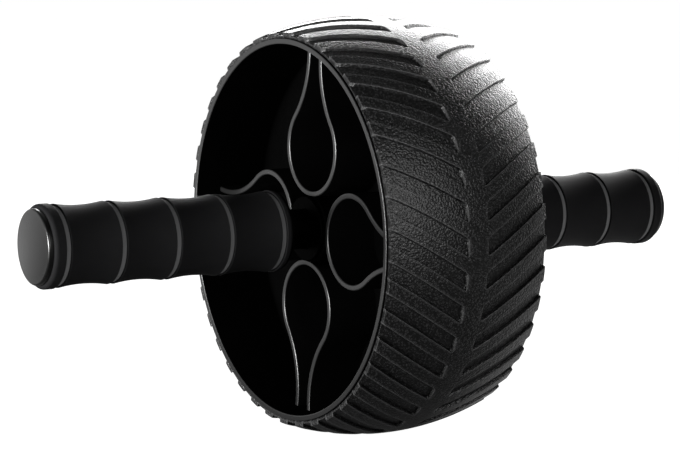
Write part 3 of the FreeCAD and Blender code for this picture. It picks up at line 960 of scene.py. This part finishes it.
def buildHandlePieces():
    kinds = {
        "EndCap": ("end_cap", capOutline(), cap["segments"], "cap_plastic"),
        "Collar": ("collar", collarOutline(), collar["segments"], "core_plastic"),
        "HandleCore": ("handle_core", coreOutline(), core["segments"], "core_plastic"),
    }
    for kind, (node, outline, segments, slot) in kinds.items():
        for side, sign in sides.items():
            name = f"{side}{kind}"
            mesh = lathe(name, outline, segments)
            flip(mesh, sign)
            settle(newPiece(name, mesh, finishes[slot]), "handlebar", f"{side}_{node}")
    print("handle pieces: done")


buildHandlePieces()


# Floor, background and light

studio = {
    "floorSize": 30.0, "floorColour": (0.86, 0.86, 0.86, 1), "white": 0.92, "glow": 1.08, "ambient": 0.15,
    # the white backdrop curves round the far side of the object, and the near side of the room is dim
    "whiteSide": (-0.854, 0.521, 0.0), "dimFrom": 0.0, "whiteFrom": 0.5, "dim": 0.04,
    "backdropTop": 0.2, "backdropFade": 0.5, "ceiling": 0.3,
    # close under the object only the floor on its far right is lit; in the floor's glow, which reflections
    # show, the dark part is a painted shadow
    "steepFrom": -0.12, "steepTo": -0.4, "litSide": (-0.4, 0.916, 0.0), "litFrom": 0.75,
}


def smoothRamp(tree, value, start, finish, low, high):
    return addNode(tree, "ShaderNodeMapRange", {"interpolation_type": "SMOOTHSTEP"}, {
        "Value": value, "From Min": start, "From Max": finish, "To Min": low, "To Max": high})


def facing(tree, way, side):
    return addNode(tree, "ShaderNodeVectorMath", {"operation": "DOT_PRODUCT"}, {0: way, 1: side}, "Value")


def roomBrightness(tree, way):
    # what a reflection shows: the way is a direction from the object, of unit length
    height = splitVector(tree, way)[2]
    toWhite = facing(tree, way, studio["whiteSide"])
    toLit = facing(tree, way, studio["litSide"])
    wall = smoothRamp(tree, toWhite, studio["dimFrom"], studio["whiteFrom"], studio["dim"], 1.0)
    fade = smoothRamp(tree, height, studio["backdropTop"], studio["backdropFade"], 1.0, studio["ceiling"])
    under = smoothRamp(tree, toLit, studio["dimFrom"], studio["litFrom"], studio["dim"], 1.0)
    steep = smoothRamp(tree, height, studio["steepTo"], studio["steepFrom"], 1.0, 0.0)
    return wall * fade * (1 - steep) + under * steep


def rayKinds(tree):
    ray = addNode(tree, "ShaderNodeLightPath")
    reflected = (ray.out("Is Glossy Ray") + ray.out("Is Transmission Ray")).maths("MINIMUM", 1)
    return ray.out("Is Camera Ray"), reflected


def buildFloor():
    half = studio["floorSize"] / 2
    level = cadBox[0].z
    mesh = bpy.data.meshes.new("floor")
    corners = [(-half, -half, level), (half, -half, level), (half, half, level), (-half, half, level)]
    mesh.from_pydata(corners, [], [(0, 1, 2, 3)])
    floor = bpy.data.objects.new("floor", mesh)
    scene.collection.objects.link(floor)
    material = bpy.data.materials.new("paleFloor")
    material.use_nodes = True
    tree = material.node_tree
    tree.nodes.clear()
    matte = addNode(tree, "ShaderNodeBsdfDiffuse", {}, {"Color": studio["floorColour"]})
    place = addNode(tree, "ShaderNodeTexCoord", output="Object")
    way = addNode(tree, "ShaderNodeVectorMath", {"operation": "NORMALIZE"}, {0: place})
    seen, reflected = rayKinds(tree)
    # reflections see the floor glow with the room's brightness, with a painted shadow close under the object
    brightness = seen + (1 - seen) * roomBrightness(tree, way)
    glow = addNode(tree, "ShaderNodeEmission", {}, {"Color": brightness, "Strength": studio["glow"]})
    share = (seen + reflected).maths("MINIMUM", 1) * studio["white"]
    mixed = addNode(tree, "ShaderNodeMixShader", {}, {0: share, 1: matte, 2: glow})
    tree.links.new(mixed.socket, tree.nodes.new("ShaderNodeOutputMaterial").inputs["Surface"])
    mesh.materials.append(material)


def buildWorld():
    world = bpy.data.worlds.new("studio")
    scene.world = world
    world.use_nodes = True
    tree = world.node_tree
    tree.nodes.clear()
    way = addNode(tree, "ShaderNodeTexCoord", output="Generated")
    seen, reflected = rayKinds(tree)
    unseen = reflected * roomBrightness(tree, way) + (1 - reflected) * studio["ambient"]
    sky = addNode(tree, "ShaderNodeBackground", {}, {"Color": seen + (1 - seen) * unseen})
    tree.links.new(sky.socket, tree.nodes.new("ShaderNodeOutputWorld").inputs["Surface"])


lamps = {
    # the way is from the wheel's centre
    "backLamp": {"way": (-0.62, 0.7, 0.31), "distance": 1.3, "width": 1.4, "height": 0.9, "watts": 62},
    "sideLamp": {"way": (0.03, -0.99, 0.05), "distance": 1.6, "width": 0.7, "height": 0.3, "watts": 100},
    "cardLamp": {"way": (0.98, -0.08, 0.34), "distance": 1.5, "width": 0.4, "height": 0.8, "watts": 11},
}


def buildLamps():
    for name, lamp in lamps.items():
        data = bpy.data.lights.new(name, "AREA")
        data.shape = "RECTANGLE"
        data.size = lamp["width"]
        data.size_y = lamp["height"]
        data.energy = lamp["watts"]
        way = Vector(lamp["way"])
        stand = bpy.data.objects.new(name, data)
        stand.location = way.normalized() * lamp["distance"]
        stand.rotation_euler = way.to_track_quat("Z", "Y").to_euler()
        scene.collection.objects.link(stand)


viewpoint = {
    "azimuth": math.radians(58.62), "elevation": math.radians(6.41), "distance": 1.1915,
    "aimRight": -10.13 * mm, "aimUp": -0.07 * mm, "lens": 131.2, "sensorWidth": 36,
}


def buildCamera():
    azimuth, elevation = viewpoint["azimuth"], viewpoint["elevation"]
    level = math.cos(elevation)
    right = Vector((math.cos(azimuth), math.sin(azimuth), 0))
    back = Vector((math.sin(azimuth) * level, -math.cos(azimuth) * level, math.sin(elevation)))
    up = back.cross(right)
    place = right * viewpoint["aimRight"] + up * viewpoint["aimUp"] + back * viewpoint["distance"]
    data = bpy.data.cameras.new("camera")
    data.lens = viewpoint["lens"]
    data.sensor_width = viewpoint["sensorWidth"]
    camera = bpy.data.objects.new("camera", data)
    camera.matrix_world = Matrix.Translation(place) @ Matrix((right, up, back)).transposed().to_4x4()
    scene.collection.objects.link(camera)
    scene.camera = camera


buildFloor()
buildWorld()
buildLamps()
buildCamera()
scene.view_settings.view_transform = "Standard"
print("studio: done")
